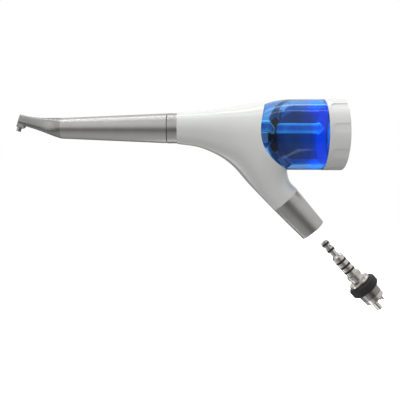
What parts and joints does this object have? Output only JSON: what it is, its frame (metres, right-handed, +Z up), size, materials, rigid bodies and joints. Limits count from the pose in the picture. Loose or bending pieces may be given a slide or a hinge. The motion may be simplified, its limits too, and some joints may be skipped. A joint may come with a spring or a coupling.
{
  "type": "air-polishing dental handpiece",
  "caption": "Air-polishing dental handpiece with a swivelling bent nozzle, a clear powder bowl under a screw cap, and a pull-out quick coupling at its rear arm.",
  "frame": {"origin": "on the handle axis, at the joint face between the housing and its front collar", "axes": "+X along the handle axis towards the bowl's cap, +Z up, so that the rear arm slopes down and to +X; the part is symmetric about Y = 0 apart from the tube ends"},
  "size_m": [0.221, 0.0424, 0.1259],
  "materials": {
    "white_plastic": "gloss white",
    "cap_plastic": "smooth white",
    "satin_metal": "satin",
    "sleeve_metal": "satin",
    "head_metal": "satin",
    "rear_metal": "satin",
    "clear_blue": "clear blue",
    "clear_blue_pipe": "clear blue",
    "rubber": "matte black",
    "steel": "bright",
    "brass": "turned",
    "nickel": "bright nickel",
    "barrel_nickel": "bright nickel",
    "black_ring": "matte black",
    "carbide": "ground"
  },
  "bodies": {
    "handpiece": {"housing_shell": "white_plastic", "front_collar": "satin_metal", "front_socket": "brass", "powder_bowl": "clear_blue", "bowl_ring": "steel", "manifold_gasket": "rubber", "manifold": "brass", "valve_seat": "brass", "valve_spring": "steel", "riser_pipe": "clear_blue_pipe", "intake_tip": "clear_blue_pipe", "mixing_tube": "steel", "air_tube": "steel", "water_tube": "steel", "rear_sleeve": "rear_metal", "rear_socket": "brass", "lock_ring": "brass"},
    "nozzle": {"front_sleeve": "sleeve_metal", "nozzle_plug": "brass", "nozzle_seals": "rubber", "snap_ring": "steel", "nozzle_head": "head_metal", "powder_tube": "steel", "jacket_tube": "steel", "jet_insert": "carbide"},
    "cap_seal": {"cap_seal": "rubber"},
    "cap": {"cap": "cap_plastic"},
    "latch_ring": {"latch_ring": "steel"},
    "coupling": {"coupling_spigot": "nickel", "tip_seals": "rubber", "barrel_seals": "rubber", "knurl_band": "nickel", "ring_retainer": "nickel", "coupling_barrel": "barrel_nickel", "exhaust_tube": "nickel", "supply_tubes": "nickel"},
    "adjust_ring": {"adjust_ring": "black_ring"},
    "valve_ball": {"valve_ball": "steel"}
  },
  "joints": [
    {"name": "nozzle_swivel", "type": "hinge", "parent": "handpiece", "child": "nozzle", "pos_m": [0, 0, 0], "axis": [1, 0, 0], "continuous": true},
    {"name": "cap_travel", "type": "slide", "parent": "handpiece", "child": "cap_seal", "axis": [1, 0, 0], "range_m": [0, 0.006]},
    {"name": "cap_turn", "type": "hinge", "parent": "cap_seal", "child": "cap", "pos_m": [0.09, 0, -0.0039], "axis": [1, 0, 0], "range_deg": [0, 720.5]},
    {"name": "coupling_swivel", "type": "hinge", "parent": "handpiece", "child": "latch_ring", "pos_m": [0.07615, 0, -0.05518], "axis": [0.6717, 0, -0.7408], "continuous": true},
    {"name": "coupling_slide", "type": "slide", "parent": "latch_ring", "child": "coupling", "axis": [0.6717, 0, -0.7408], "range_m": [-0.0417, 0]},
    {"name": "adjust_ring_turn", "type": "hinge", "parent": "coupling", "child": "adjust_ring", "pos_m": [0.11185, 0, -0.09455], "axis": [0.6717, 0, -0.7408], "range_deg": [-90, 90]},
    {"name": "valve_lift", "type": "slide", "parent": "handpiece", "child": "valve_ball", "axis": [0, 0, 1], "range_m": [0, 0.0008], "stiffness_N_per_m": 10, "springref_m": -0.0005, "deforming": ["valve_spring"]}
  ],
  "couplings": [
    {"joint": "cap_turn", "follows": "cap_travel", "rad_per_m": 2094.4}
  ]
}
